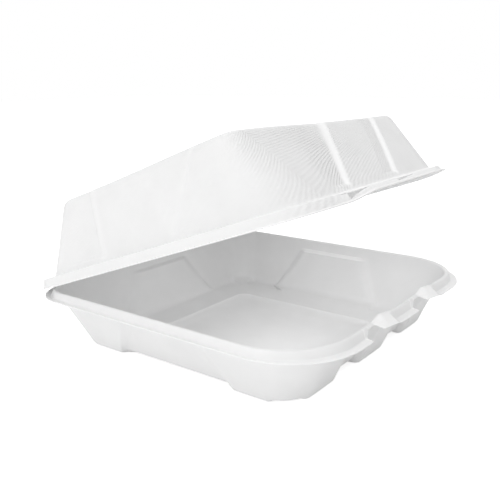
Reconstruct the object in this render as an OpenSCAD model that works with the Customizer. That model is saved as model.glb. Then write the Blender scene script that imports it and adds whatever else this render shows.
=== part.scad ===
/* [Overall] */
// Width of the container across its lips, side to side
width = 203; // [190:1:230]
// Depth of the container across its lips, front to fold
depth = 204; // [190:1:230]
// Thickness of the pressed pulp
wall = 0.6; // [0.5:0.05:0.7]
// Angle in degrees that the lid stands open, counted from shut
lid_open = 19.7; // [2:0.1:175]
// Clearance between the tray and the lid at the fold and at the lips
fold_gap = 0.1; // [0.05:0.01:0.2]
// Outer corner radius of the lips at the front
front_corner_r = 42; // [34:1:44]

/* [Tray] */
// Height of the plane where the two lips meet, above the table
parting_h = 32; // [29:0.5:40]
// Height of the tray's rounded crest above that plane
crest_rise = 4.8; // [4.2:0.1:5]
// Inset of the crest's inner edge from the lip at the two sides
side_rim = 4.5; // [4.4:0.1:5.5]
// Inset of the crest's inner edge from the lip at the front and the rear
end_rim = 8.2; // [7.5:0.1:9.5]
// Width of the crest's rounded top, at the two sides
side_crest_w = 1.5; // [1.4:0.05:1.8]
// Width of the crest's rounded top, at the front and the rear
end_crest_w = 2.6; // [1.8:0.1:3]
// Width of the flat lip outside the rim, at the two sides
side_flange = 1.8; // [1.5:0.1:2.2]
// Width of the flat lip outside the rim, at the front and the rear
end_flange = 4.1; // [2.5:0.1:4.4]
// Outer corner radius of the tray's lip beside the fold
tray_rear_r = 24; // [20:1:30]
// Inset of the floor's edge from the crest at the two sides
side_draft = 16.6; // [12:0.2:20]
// Inset of the floor's edge from the crest at the front
front_draft = 18.8; // [14:0.2:24]
// Inset of the floor's edge from the crest at the rear
rear_draft = 14.8; // [12:0.2:20]
// Corner radius of the floor's edge
floor_corner_r = 16; // [12:0.5:19]
// Height of the feet under the floor
foot_h = 1.5; // [1:0.1:2.5]
// Width of the ring of feet, measured inward from the floor's edge
foot_ring_w = 10; // [7:0.5:12]

/* [Tray panels] */
// Half length of the pushed-in wall panels at the floor
panel_half_low = 44; // [36:1:46]
// Half length of the pushed-in wall panels at their top
panel_half_high = 29; // [22:1:34]
// Offset of the side walls' panels from the middle, toward the rear
panel_shift = 2; // [0:0.5:4]
// Height of the ledge at the panels' top, above the table
panel_top = 28.8; // [24:0.2:29.5]
// How far the panels are pushed in
panel_depth = 3; // [1.5:0.1:4]
// Width of the two flutes in the front wall
flute_w = 32; // [26:1:36]
// Distance between the two flutes' centres
flute_pitch = 56; // [50:1:58]
// How far the flutes are pushed in
flute_depth = 4.2; // [2:0.1:5]
// Run of the step at each side of a panel or a flute
step_run = 3; // [2:0.1:4]

/* [Floor] */
// Half width of the floor's raised bead, side to side
bead_half_w = 45; // [40:1:50]
// Distance from the middle to the bead at the front
bead_front = 55; // [48:1:58]
// Distance from the middle to the bead at the rear
bead_rear = 51; // [44:1:56]
// Height of the bead above the floor
bead_h = 1.2; // [0.6:0.1:2]
// Corner radius of the bead
bead_r = 6; // [4:0.5:12]

/* [Locking tabs] */
// Distance between the tips of the two tabs in the front rim
tab_pitch = 55.5; // [48:0.5:60]
// Offset of the pair of tab tips from the middle, to the right
tab_shift = -9; // [-12:0.5:-4]
// Length of the gap in the rim before each tab's tip
tab_gap = 6.3; // [4:0.1:8]
// Slant of the rim's cut end before each gap
tab_slant = 4.6; // [2:0.1:6]
// Length over which a tab falls from its raised tip to the lip
tab_len = 25; // [20:0.5:28]
// Height of a tab's raised tip above the lip
tab_rise = 3.2; // [1.5:0.1:4]
// Height of the crest's peak over each tab
tab_peak = 2.2; // [0.5:0.1:3]

/* [Lid] */
// Rise of the lid's top above the plane where the lips meet
dome_h = 47.1; // [30:0.1:60]
// Rise of the lid's rim ledge above that plane
ledge_rise = 5.85; // [5.7:0.05:7]
// Outer corner radius of the lid's lip beside the fold
lid_rear_r = 19.5; // [16:0.5:24]
// Inset of the dome's foot from the lip at the two sides
dome_foot_side = 8.5; // [6:0.1:11]
// Inset of the dome's foot from the lip at the front
dome_foot_front = 9; // [7:0.1:12]
// Inset of the dome's foot from the lip at the rear
dome_foot_rear = 12; // [9:0.1:15]
// Inset of the dome's top edge from the lip at the two sides
dome_top_side = 15.7; // [12:0.1:20]
// Inset of the dome's top edge from the lip at the front
dome_top_front = 31.8; // [20:0.1:36]
// Inset of the dome's top edge from the lip at the rear
dome_top_rear = 31; // [20:0.5:36]
// Corner radius of the dome's top at the front
top_front_r = 8; // [7:0.5:19]
// Corner radius of the dome's top at the rear
top_rear_r = 12; // [9:0.5:18]
// Size of the rounding along the dome's top edge
top_round = 3; // [2:0.25:3.25]

/* [Lid panels] */
// Depth of the pocket beside each rib of the front wall
pocket_depth = 2; // [1:0.1:3]
// Length of the pocket beside each rib, at the dome's foot
pocket_len = 16; // [12:0.5:20]
// How far the left rib leans to the right from the dome's foot to its top
left_rib_lean = 30; // [10:1:38]
// How far the right rib leans to the right from the dome's foot to its top
right_rib_lean = 34; // [10:1:38]
// Depth of the side walls' set-back behind their raised middle
shoulder_depth = 2; // [1:0.1:3]
// Place of the raised middle's rear edge, behind the middle of the lid
shoulder_rear = 36; // [30:1:42]
// Place of the raised middle's front edge, ahead of the middle, at the dome's foot
shoulder_front = 20; // [16:1:30]
// How far the raised middle's front edge leans forward up to the top
shoulder_lean = 25; // [5:1:26]
// Length of each slot that a tab enters
slot_len = 29; // [24:0.5:32]
// Distance from a tab's tip to the start of its slot, to the left
slot_lead = 18; // [12:0.5:20]
// Length of the narrow slit at the start of each slot
slit_len = 6; // [4:0.5:8]

/* [Hidden] */

// Colour of the bleached pulp
PULP = [0.95, 0.95, 0.94];

// Steps of a corner, and the longest stretch between two stations of a side
CORNER_STEPS = 6;
SIDE_STEP = 14;
// Runs, in plan, of the bead's two flanks and of the slope inside the feet
BEAD_IN = 1.8;
BEAD_OUT = 2.5;
FOOT_RUN = 1.5;
// Roundings of the floor's edge, the crest's edges, the lip's bend and the ledges' edges
FLOOR_EDGE = 1.5;
CREST_EDGE = 0.45;
BEND = 0.5;
LEDGE_EDGE = 0.8;
// Places of the flank's foot and of the flange on the way from the crest to the lip's edge
FLANK_END = 0.6;
FLANGE_START = 0.7;
// Half of the front wall's part whose steps and tabs stand upright
FRONT_KNOT = 50;
// Share of that way that is left in the gaps of the front rim, and the width of a cut end
RIM_STUB = 0.1;
CUT_RUN = 1.5;
// Places of a tab's peak and of its facet's end after the tab's tip, and the run down from the facet
PEAK_AT = 8.7;
FACET_END = 18;
FACET_RUN = 3.5;
// Each rib's place after its tab's tip, and half the run of the step beside it
RIB_LEAD = 5;
RIB_RUN = 1.5;
// Height of the pockets' ledge, as a share of the dome's
POCKET_FOOT = 0.06;
// Half the run of the raised middle's rear step, and its front step's share of the depth
SHOULDER_RUN = 4;
FRONT_STEP = 0.3;
// How far the raised middle's rear edge leans backward up to the top
REAR_LEAN = 4;
// Length of the cut at the end of a slot's narrow slit
SLIT_END = 1.2;
// Depth under the crest at which the flutes have run out, and the fall of a lip to its edge
CREST_SIDE = 2;
LIP_FALL = 0.05;
// Angles at which a corner's foot starts and ends, and the run of its ends in degrees
FOOT_ANGLES = [8, 82];
FOOT_END = 14;
// Insets of the lid's rim from the lip's edge, at the sides and at the front and rear:
// the lip's bend, the skirt's foot, the skirt's top and the ledge's edge
LID_BEND = [1, 1.5];
SKIRT_FOOT = [1.4, 2];
SKIRT_TOP = [2.2, 3.4];
LEDGE_OUT = [2.8, 4.1];
// Shares of the dome's height at which its wall has a line of points
WALL_MIDDLE = 0.5;
WALL_HIGH = 0.92;

// Half sizes and the fold's place
half_w = width / 2;
half_d = depth / 2;
fold_y = half_d + fold_gap;
crest_h = parting_h + crest_rise;
tray_lip_h = parting_h - fold_gap / 2;
floor_h = foot_h + wall;
straight_x = half_w - front_corner_r;
straight_front = half_d - front_corner_r;
straight_rear = half_d - tray_rear_r;
tab_tips = [tab_shift - tab_pitch / 2, tab_shift + tab_pitch / 2];
flute_mids = [-flute_pitch / 2, flute_pitch / 2];

function mix(a, b, t) = a + (b - a) * t;
function rise(x, from, to) = max(0, min(1, (x - from) / (to - from)));
function plateau(x, from, to, run) = rise(x, from, from + run) * (1 - rise(x, to - run, to));
function sum(v, i = 0) = i < len(v) ? v[i] + sum(v, i + 1) : 0;
function unit(v) = v / max(norm(v), 0.000001);

// Sorts a list of numbers
function sorted(v) = len(v) < 2 ? v : let (p = v[floor(len(v) / 2)])
    concat(sorted([for (x = v) if (x < p) x]), [p], sorted([for (x = v) if (x > p) x]));

// Adds stations so that no stretch of a sorted list is longer than SIDE_STEP
function filled(v) = concat([for (i = [0 : len(v) - 2], k = [0 : ceil((v[i + 1] - v[i]) / SIDE_STEP) - 1])
    mix(v[i], v[i + 1], k / ceil((v[i + 1] - v[i]) / SIDE_STEP))], [v[len(v) - 1]]);
function backward(v) = [for (i = [len(v) - 1 : -1 : 0]) v[i]];

// An outline is [half width, front, rear, front corner radius, rear corner radius, height]
function inset(o, side, front, rear, h) =
    [o[0] - side, o[1] - front, o[2] - rear, o[3] - side, o[4] - min(side, rear), h];

// The stations of one turn round the outline: [stretch, place along it or angle]
function stations(front, side, rear) = concat(
    [for (x = front) [0, x]], corner(1),
    [for (y = side) [2, y]], corner(3),
    [for (x = backward(rear)) [4, x]], corner(5),
    [for (y = backward(side)) [6, y]], corner(7));
function corner(stretch) = [for (k = [1 : CORNER_STEPS - 1]) [stretch, 90 * k / CORNER_STEPS]];

// Outward direction of a station, in plan
function outward(s) =
    s[0] == 0 ? [0, -1] : s[0] == 1 ? [sin(s[1]), -cos(s[1])] :
    s[0] == 2 ? [1, 0] : s[0] == 3 ? [cos(s[1]), sin(s[1])] :
    s[0] == 4 ? [0, 1] : s[0] == 5 ? [-sin(s[1]), cos(s[1])] :
    s[0] == 6 ? [-1, 0] : [-cos(s[1]), -sin(s[1])];

// Place of a station on an outline. The knots say where the panels' edges lie at this height:
// each is [place at the lip, place here], for the front, the sides and the rear
function along(place, from, to, nominal_from, nominal_to, knots) =
    lookup(place, concat([[nominal_from, from]], knots, [[nominal_to, to]]));
function spot(o, s, knots) =
    let (x0 = o[0] - o[3], y0 = o[1] - o[3], x1 = o[0] - o[4], y1 = o[2] - o[4], n = outward(s))
    s[0] == 0 ? [along(s[1], -x0, x0, -straight_x, straight_x, knots[0]), -o[1]] :
    s[0] == 1 ? [x0, -y0] + o[3] * n :
    s[0] == 2 ? [o[0], along(s[1], -y0, y1, -straight_front, straight_rear, knots[1])] :
    s[0] == 3 ? [x1, y1] + o[4] * n :
    s[0] == 4 ? [along(s[1], -x1, x1, -straight_x, straight_x, knots[2]), o[2]] :
    s[0] == 5 ? [-x1, y1] + o[4] * n :
    s[0] == 6 ? [-o[0], along(s[1], -y0, y1, -straight_front, straight_rear, knots[1])] :
    [-x0, -y0] + o[3] * n;

// A point of the shell's upper face: its station on an outline, pushed in and lifted
function face_point(o, s, knots, push, lift) =
    let (p = spot(o, s, knots) - push * outward(s)) [p[0], p[1], o[5] + lift];

// The lower face lies one wall under the upper one, square to it in each station's own plane
function slope(a, b, n) =
    let (run = (b[0] - a[0]) * n[0] + (b[1] - a[1]) * n[1]) unit([a[2] - b[2], run]);
function under(line, k, n) = k == 0 ? line[0] - [0, 0, wall] :
    let (a = slope(line[k - 1], line[k], n),
         b = k < len(line) - 1 ? slope(line[k], line[k + 1], n) : a,
         m = (a + b) / max(1 + a * b, 0.8))
    line[k] - wall * [m[0] * n[0], m[0] * n[1], m[1]];

// A closed shell from the upper face's lines, one line of points per station.
// Where open[i] is true, the strip between rows slot and slot + 1 is left out after station i
module shell(lines, directions, slot = 0, open = []) {
    n = len(lines);
    m = len(lines[0]);
    lower = n * m;
    middle = 2 * lower;
    centre = [0, (lines[0][0][1] + lines[floor(n / 2)][0][1]) / 2, lines[0][0][2]];
    function at(i, k) = (i % n) * m + k;
    function is_open(i, k) = k == slot && open[i % n] == true;
    points = concat(
        [for (line = lines, p = line) p],
        [for (i = [0 : n - 1], k = [0 : m - 1]) under(lines[i], k, directions[i])],
        [centre, centre - [0, 0, wall]]);
    faces = concat(
        [for (i = [0 : n - 1], k = [0 : m - 2]) if (!is_open(i, k)) each
            [[at(i, k), at(i + 1, k), at(i + 1, k + 1)], [at(i, k), at(i + 1, k + 1), at(i, k + 1)]]],
        [for (i = [0 : n - 1], k = [0 : m - 2]) if (!is_open(i, k)) each
            [[lower + at(i, k), lower + at(i + 1, k + 1), lower + at(i + 1, k)],
             [lower + at(i, k), lower + at(i, k + 1), lower + at(i + 1, k + 1)]]],
        [for (i = [0 : n - 1]) each strip(at(i, m - 1), at(i + 1, m - 1), lower)],
        [for (i = [0 : n - 1]) if (is_open(i, slot)) each concat(
            strip(at(i, slot), at(i + 1, slot), lower),
            strip(at(i + 1, slot + 1), at(i, slot + 1), lower),
            is_open(i + n - 1, slot) ? [] : strip(at(i, slot + 1), at(i, slot), lower),
            is_open(i + 1, slot) ? [] : strip(at(i + 1, slot), at(i + 1, slot + 1), lower))],
        [for (i = [0 : n - 1]) each [[middle, at(i + 1, 0), at(i, 0)],
            [middle + 1, lower + at(i, 0), lower + at(i + 1, 0)]]]);
    polyhedron(points, faces, convexity = 8);
}

// The two triangles that join an edge of the upper face to the same edge of the lower face
function strip(a, b, lower) = [[a, b, lower + b], [a, lower + b, lower + a]];

// The same inset on every side
function all_in(o, d, h) = inset(o, d, d, d, h);

// Outlines of the tray, from the lip inward and down
tray_lip = [half_w, half_d, half_d, front_corner_r, tray_rear_r, tray_lip_h];
tray_crest = inset(tray_lip, side_rim, end_rim, end_rim, crest_h - CREST_EDGE);
tray_floor = [tray_crest[0] - side_draft, tray_crest[1] - front_draft,
              tray_crest[2] - rear_draft, floor_corner_r, floor_corner_r, 0];
function tray_wall(h) = mix(tray_floor, tray_crest, h / tray_crest[5]);

// The rim's upper face from the crest's outer edge to the lip's edge
crest_top = inset(tray_crest, -side_crest_w / 2, -end_crest_w / 2, -end_crest_w / 2, crest_h);
crest_out = inset(tray_crest, -side_crest_w, -end_crest_w, -end_crest_w, crest_h - CREST_EDGE);
flank_foot = inset(tray_lip, side_flange + BEND, end_flange + BEND, end_flange + BEND,
    tray_lip_h + BEND);
flange_in = inset(tray_lip, side_flange, end_flange, end_flange, tray_lip_h + LIP_FALL);
function rim_at(t) =
    t < FLANK_END ? mix(crest_out, flank_foot, t / FLANK_END) :
    t < FLANGE_START ? mix(flank_foot, flange_in, rise(t, FLANK_END, FLANGE_START)) :
    mix(flange_in, tray_lip, rise(t, FLANGE_START, 1));

// Where a station lies in the pushed-in panels, in the flutes and on the feet
function in_panel(s) = s[0] % 2 == 1 || s[0] == 0 ? 0 :
    let (mid = s[0] == 4 ? 0 : panel_shift)
    plateau(s[1], mid - panel_half_low, mid + panel_half_low, step_run);
function in_flute(s) = s[0] != 0 ? 0 :
    sum([for (m = flute_mids) plateau(s[1], m - flute_w / 2, m + flute_w / 2, step_run)]);
function on_foot(s) = s[0] % 2 == 1 ? 1 - plateau(s[1], FOOT_ANGLES[0], FOOT_ANGLES[1], FOOT_END) :
    1 - in_panel(s) - in_flute(s);

// Share of the rim that is left at a station, how far the lip and the crest are raised there, and
// whether the rim between them is a flat facet
function rim_share(s) = s[0] != 0 ? 1 : 1 - (1 - RIM_STUB) * sum([for (t = tab_tips)
    rise(s[1], t - tab_gap - tab_slant, t - tab_gap) * (1 - rise(s[1], t, t + CUT_RUN))]);
function tab_lift(s) = s[0] != 0 ? 0 : tab_rise * sum([for (t = tab_tips)
    s[1] <= t ? 0 : 1 - rise(s[1], t, t + tab_len)]);
function tab_ridge(s) = s[0] != 0 ? 0 : tab_peak * sum([for (t = tab_tips)
    rise(s[1], t + CUT_RUN, t + PEAK_AT) * (1 - rise(s[1], t + PEAK_AT, t + tab_len))]);
function on_facet(s) = s[0] != 0 ? 0 : sum([for (t = tab_tips)
    s[1] <= t ? 0 : 1 - rise(s[1], t + FACET_END, t + FACET_END + FACET_RUN)]);

// How far the rim is raised at a station, at place u on the way from the crest to the lip's edge
function rim_lift(s, u) =
    let (o = rim_at(u), ridge = tab_ridge(s), lift = tab_lift(s),
         grooved = o[5] + mix(ridge, lift, rise(u, 0, FLANK_END)),
         out = (o[1] - crest_out[1]) / (tray_lip[1] - crest_out[1]))
    mix(grooved, mix(crest_out[5] + ridge, tray_lip[5] + lift, out), on_facet(s)) - o[5];

tray_front = filled(sorted(concat([-straight_x, straight_x],
    [for (m = flute_mids, side = [-1, 1], e = [flute_w / 2, flute_w / 2 - step_run]) m + side * e],
    [for (t = tab_tips, k = [0 : 4]) t - tab_gap - tab_slant * k / 4],
    [for (t = tab_tips, k = [0 : 3]) t + CUT_RUN * k / 3],
    [for (t = tab_tips, e = [PEAK_AT / 2, PEAK_AT, (PEAK_AT + FACET_END) / 2, FACET_END,
        FACET_END + FACET_RUN, tab_len]) t + e])));
panel_stops = [-panel_half_low, -panel_half_low + step_run, panel_half_low - step_run, panel_half_low];
tray_side = filled(concat([-straight_front], [for (y = panel_stops) y + panel_shift], [straight_rear]));
tray_rear = filled(concat([-straight_x], panel_stops, [straight_x]));

// The panels' edges lean inward up to their ledge
function panel_knots(h) =
    let (e = mix(panel_half_low, panel_half_high, rise(h, 0, panel_top)),
         lean = [[-panel_half_low, -e], [panel_half_low, e]],
         shift = [panel_shift, panel_shift])
    [[[-FRONT_KNOT, -FRONT_KNOT], [FRONT_KNOT, FRONT_KNOT]], [for (k = lean) k + shift], lean];
NO_KNOTS = [[], [], []];
rim_knots = panel_knots(panel_top);

// The bead's ridge, and the edges of the band of feet round the floor
bead = [bead_half_w, bead_front, bead_rear, bead_r, bead_r, floor_h + bead_h];
ring_in = all_in(tray_floor, foot_ring_w, floor_h);
ring_out = all_in(tray_floor, FLOOR_EDGE, floor_h);

// The tray's upper face at one station, from the floor's middle up and out to the lip's edge
function tray_line(s) =
    let (panel = panel_depth * in_panel(s), flute = flute_depth * in_flute(s),
         push = panel + flute, drop = -foot_h * on_foot(s),
         share = rim_share(s), ridge = tab_ridge(s))
    concat([
        face_point(all_in(bead, BEAD_IN, floor_h), s, NO_KNOTS, 0, 0),
        face_point(bead, s, NO_KNOTS, 0, 0),
        face_point(all_in(bead, -BEAD_OUT, floor_h + bead_h / 2), s, NO_KNOTS, 0, 0),
        face_point(all_in(ring_in, FOOT_RUN, floor_h), s, NO_KNOTS, 0, 0),
        face_point(ring_in, s, NO_KNOTS, 0, drop),
        face_point(ring_out, s, panel_knots(0), push, drop),
        face_point(tray_wall(floor_h + FLOOR_EDGE), s, panel_knots(floor_h), push, drop),
        face_point(tray_wall(panel_top / 2), s, panel_knots(panel_top / 2), push, 0),
        face_point(tray_wall(panel_top), s, rim_knots, push, 0),
        face_point(tray_wall(panel_top + LEDGE_EDGE), s, rim_knots, flute, 0),
        face_point(tray_wall(crest_h - CREST_SIDE), s, rim_knots, 0, ridge / 2),
        face_point(tray_crest, s, rim_knots, 0, ridge),
        face_point(crest_top, s, rim_knots, 0, ridge),
        face_point(crest_out, s, rim_knots, 0, ridge)],
        [for (t = [FLANK_END, FLANGE_START, 1])
            face_point(rim_at(t * share), s, rim_knots, 0, rim_lift(s, t * share))]);

module base_tray() {
    around = stations(tray_front, tray_side, tray_rear);
    color(PULP) shell([for (s = around) tray_line(s)], [for (s = around) outward(s)]);
}

// Outlines of the lid in its shut place, from the lip inward and up
lid_lip = [half_w, half_d, half_d, front_corner_r, lid_rear_r, parting_h + fold_gap / 2 + wall];
ledge_h = parting_h + ledge_rise;
top_h = parting_h + dome_h;
function lid_rim(ins, h) = inset(lid_lip, ins[0], ins[1], ins[1], h);
lid_flange = lid_rim(LID_BEND, lid_lip[5] + LIP_FALL);
skirt_foot = lid_rim(SKIRT_FOOT, lid_lip[5] + BEND);
skirt_top = lid_rim(SKIRT_TOP, ledge_h - CREST_EDGE);
ledge_out = lid_rim(LEDGE_OUT, ledge_h);
dome_foot = inset(lid_lip, dome_foot_side, dome_foot_front, dome_foot_rear, ledge_h + CREST_EDGE);
ledge_in = all_in(dome_foot, -BEND, ledge_h + CREST_EDGE / 2);
dome_top = [half_w - dome_top_side, half_d - dome_top_front, half_d - dome_top_rear,
            top_front_r, top_rear_r, top_h];
function dome_wall(up) = mix(dome_foot, dome_top, up);

// Ribs and slots follow the tabs, so that each tab meets its slot
ribs = [for (t = tab_tips) t + RIB_LEAD];
rib_leans = [left_rib_lean, right_rib_lean];
slot_starts = [for (t = tab_tips) t - slot_lead];

// How far a station lies in the pocket beside a rib, and in the set-back parts of a side wall
function in_pocket(s) = s[0] != 0 ? 0 : sum([for (x = ribs)
    rise(s[1], x - pocket_len, x - RIB_RUN) * (1 - rise(s[1], x - RIB_RUN, x + RIB_RUN))]);
function off_shoulder(s) = s[0] != 2 && s[0] != 6 ? 0 :
    rise(s[1], shoulder_rear - SHOULDER_RUN, shoulder_rear + SHOULDER_RUN)
        * (1 - rise(s[1], shoulder_rear + SHOULDER_RUN, straight_rear))
    + FRONT_STEP * (1 - rise(s[1], -shoulder_front - RIB_RUN, -shoulder_front + RIB_RUN))
        * rise(s[1], -straight_front, -shoulder_front - RIB_RUN);
function rib_knots(up) = [
    [for (i = [0 : 1]) [ribs[i], ribs[i] + rib_leans[i] * up]],
    [[-shoulder_front, -shoulder_front - shoulder_lean * up],
     [shoulder_rear, shoulder_rear + REAR_LEAN * up]],
    []];

// Height of a slot's lower edge: the narrow slit, a cut end, then a slow climb to the right
function slot_x(s) = s[1] - slot_starts[s[1] < slot_starts[1] - 1 ? 0 : 1];
function in_slot(s) = s[0] == 0 && slot_x(s) > -0.01 && slot_x(s) < slot_len + 0.01;
function slot_edge(s) = let (high = skirt_top[5] - BEND, low = skirt_foot[5] + BEND)
    !in_slot(s) ? (low + high) / 2 : slot_x(s) < slit_len + 0.1 ? high :
    mix(low, high, rise(slot_x(s), slit_len + SLIT_END, slot_len));

lid_front = filled(sorted(concat([-straight_x, straight_x],
    [for (x = ribs, e = [-pocket_len, -RIB_RUN, RIB_RUN]) x + e],
    [for (x = slot_starts, e = [0, slit_len / 2, slit_len, slit_len + SLIT_END,
        (slit_len + slot_len) / 2, slot_len]) x + e])));
lid_side = filled([-straight_front, -shoulder_front - RIB_RUN, -shoulder_front + RIB_RUN,
    shoulder_rear - SHOULDER_RUN, shoulder_rear + SHOULDER_RUN, straight_rear]);
lid_rear = filled([-straight_x, straight_x]);

// The lid's upper face at one station, from the top's middle out and down to the lip's edge
function lid_line(s) =
    let (push = pocket_depth * in_pocket(s) + shoulder_depth * off_shoulder(s),
         slot_low = mix(skirt_foot, skirt_top, rise(slot_edge(s), skirt_foot[5], skirt_top[5])))
    [
        face_point(all_in(dome_top, top_round * 2, top_h), s, rib_knots(1), 0, 0),
        face_point(all_in(dome_top, top_round, top_h), s, rib_knots(1), push / 3, 0),
        face_point(all_in(dome_top, top_round / 4, top_h - top_round / 4), s, rib_knots(1), push, 0),
        face_point(dome_wall(1 - top_round / dome_h), s, rib_knots(WALL_HIGH), push, 0),
        face_point(dome_wall(WALL_MIDDLE), s, rib_knots(WALL_MIDDLE), push, 0),
        face_point(dome_wall(POCKET_FOOT * 1.5), s, rib_knots(POCKET_FOOT), push, 0),
        face_point(dome_wall(POCKET_FOOT), s, rib_knots(POCKET_FOOT), 0, 0),
        face_point(dome_foot, s, rib_knots(0), 0, 0),
        face_point(ledge_in, s, rib_knots(0), 0, 0),
        face_point(ledge_out, s, rib_knots(0), 0, 0),
        face_point(skirt_top, s, rib_knots(0), 0, 0),
        face_point(slot_low, s, rib_knots(0), 0, 0),
        face_point(skirt_foot, s, rib_knots(0), 0, 0),
        face_point(lid_flange, s, rib_knots(0), 0, 0),
        face_point(lid_lip, s, rib_knots(0), 0, 0)];
SLOT_ROW = 10;

module hinged_lid() {
    around = stations(lid_front, lid_side, lid_rear);
    last = len(around) - 1;
    color(PULP) translate([0, fold_y, parting_h]) rotate([-lid_open, 0, 0])
        translate([0, -fold_y, -parting_h])
        shell([for (s = around) lid_line(s)], [for (s = around) outward(s)], SLOT_ROW,
            [for (i = [0 : last]) i < last && in_slot(around[i]) && in_slot(around[i + 1])
                && slot_x(around[i + 1]) > slot_x(around[i])]);
}

base_tray();
hinged_lid();
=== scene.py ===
"""Looks of a hinged clamshell food container in moulded sugarcane pulp.

The two pressed shells follow the same sizes as the part's source, with finer steps, rounded folds and
two faces: the smooth inside and the outside that took the print of the mould's wire screen.
"""
import math

import bpy
import numpy as np
from mathutils import Matrix, Vector


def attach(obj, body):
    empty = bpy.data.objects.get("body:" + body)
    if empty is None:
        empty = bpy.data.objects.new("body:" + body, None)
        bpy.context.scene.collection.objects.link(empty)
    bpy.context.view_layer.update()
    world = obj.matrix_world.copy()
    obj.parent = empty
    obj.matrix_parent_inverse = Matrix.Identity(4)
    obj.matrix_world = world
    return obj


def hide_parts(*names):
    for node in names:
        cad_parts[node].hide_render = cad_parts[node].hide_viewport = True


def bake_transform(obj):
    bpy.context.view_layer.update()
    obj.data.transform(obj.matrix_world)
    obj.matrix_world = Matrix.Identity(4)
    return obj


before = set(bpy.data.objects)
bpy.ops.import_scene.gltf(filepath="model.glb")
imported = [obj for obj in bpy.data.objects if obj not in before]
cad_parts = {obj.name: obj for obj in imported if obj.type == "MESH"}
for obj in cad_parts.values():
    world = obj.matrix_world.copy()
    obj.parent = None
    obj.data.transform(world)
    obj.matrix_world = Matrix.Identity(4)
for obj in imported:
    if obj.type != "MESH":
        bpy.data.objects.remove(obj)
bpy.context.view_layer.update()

MM = 0.001

# Sizes of the pressed shells in mm and degrees, as in the part's source
WIDTH, DEPTH, WALL = 203.0, 204.0, 0.6
LID_OPEN, FOLD_GAP = 19.7, 0.1
FRONT_R, TRAY_REAR_R, LID_REAR_R = 42.0, 24.0, 19.5
PARTING_H, CREST_RISE = 32.0, 4.8
SIDE_RIM, END_RIM, SIDE_CREST_W, END_CREST_W = 4.5, 8.2, 1.5, 2.6
SIDE_FLANGE, END_FLANGE = 1.8, 4.1
SIDE_DRAFT, FRONT_DRAFT, REAR_DRAFT = 16.6, 18.8, 14.8
FLOOR_R, FOOT_H, FOOT_RING_W = 16.0, 1.5, 10.0
FOOT_ANGLES, FOOT_END, FOOT_RUN = (8.0, 82.0), 14.0, 1.5
PANEL_LOW, PANEL_HIGH, PANEL_TOP, PANEL_DEPTH, PANEL_SHIFT = 44.0, 29.0, 28.8, 3.0, 2.0
FLUTE_W, FLUTE_PITCH, FLUTE_DEPTH, STEP_RUN, FRONT_KNOT = 32.0, 56.0, 4.2, 3.0, 50.0
BEAD_W, BEAD_FRONT, BEAD_REAR, BEAD_H, BEAD_R = 45.0, 55.0, 51.0, 1.2, 6.0
BEAD_IN, BEAD_OUT = 1.8, 2.5
FLOOR_EDGE, CREST_EDGE, BEND, LEDGE_EDGE = 1.5, 0.45, 0.5, 0.8
CREST_SIDE, LIP_FALL = 2.0, 0.05
TAB_PITCH, TAB_SHIFT, TAB_GAP, TAB_SLANT = 55.5, -9.0, 6.3, 4.6
TAB_LEN, TAB_RISE, TAB_PEAK, RIM_STUB, CUT_RUN = 25.0, 3.2, 2.2, 0.1, 1.5
PEAK_AT, FACET_END, FACET_RUN = 8.7, 18.0, 3.5
FLANK_END, FLANGE_START = 0.6, 0.7
DOME_H, LEDGE_RISE = 47.1, 5.85
DOME_FOOT = (8.5, 9.0, 12.0)
DOME_TOP = (15.7, 31.8, 31.0)
LID_BEND, SKIRT_FOOT, SKIRT_TOP, LEDGE_OUT = (1.0, 1.5), (1.4, 2.0), (2.2, 3.4), (2.8, 4.1)
TOP_FRONT_R, TOP_REAR_R, TOP_ROUND = 8.0, 12.0, 3.0
WALL_MIDDLE, WALL_HIGH = 0.5, 0.92
POCKET_DEPTH, POCKET_LEN, POCKET_FOOT = 2.0, 16.0, 0.06
RIB_LEAD, RIB_RUN, RIB_LEANS = 5.0, 1.5, (30.0, 34.0)
SHOULDER_DEPTH, SHOULDER_REAR, SHOULDER_RUN, REAR_LEAN = 2.0, 36.0, 4.0, 4.0
SHOULDER_FRONT, SHOULDER_LEAN, FRONT_STEP = 20.0, 25.0, 0.3
SLOT_LEN, SLOT_LEAD, SLIT_LEN, SLIT_END = 29.0, 18.0, 6.0, 1.2

HALF_W, HALF_D = WIDTH / 2, DEPTH / 2
FOLD_Y = HALF_D + FOLD_GAP
CREST_H = PARTING_H + CREST_RISE
TRAY_LIP_H = PARTING_H - FOLD_GAP / 2
FLOOR_H = FOOT_H + WALL
STRAIGHT_X = HALF_W - FRONT_R
STRAIGHT_FRONT, STRAIGHT_REAR = HALF_D - FRONT_R, HALF_D - TRAY_REAR_R
TAB_TIPS = (TAB_SHIFT - TAB_PITCH / 2, TAB_SHIFT + TAB_PITCH / 2)
FLUTE_MIDS = (-FLUTE_PITCH / 2, FLUTE_PITCH / 2)
RIBS = tuple(tip + RIB_LEAD for tip in TAB_TIPS)
SLOTS = tuple(tip - SLOT_LEAD for tip in TAB_TIPS)

# What only the looks have: softer panel steps at the top of the side walls and the rear wall
SIDE_PANEL_RUN, REAR_PANEL_RUN = 10.0, 14.0
# Warps of a used mould: the strip under the slots, the right side's lip, the top's front left corner
STRIP_WARP, SIDE_WARP, TOP_WARP = 2.3, -0.7, 1.2
STRIP_WARP_LEAD, STRIP_WARP_PAST, STRIP_WARP_TURN = 2.0, 6.0, 80.0
SIDE_WARP_TURN, SIDE_WARP_FALL = (30.0, 90.0), (-20.0, 50.0)
TOP_WARP_X, TOP_WARP_Y, WALL_WARP = (-70.0, 30.0), (-60.0, 30.0), 0.4
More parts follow.
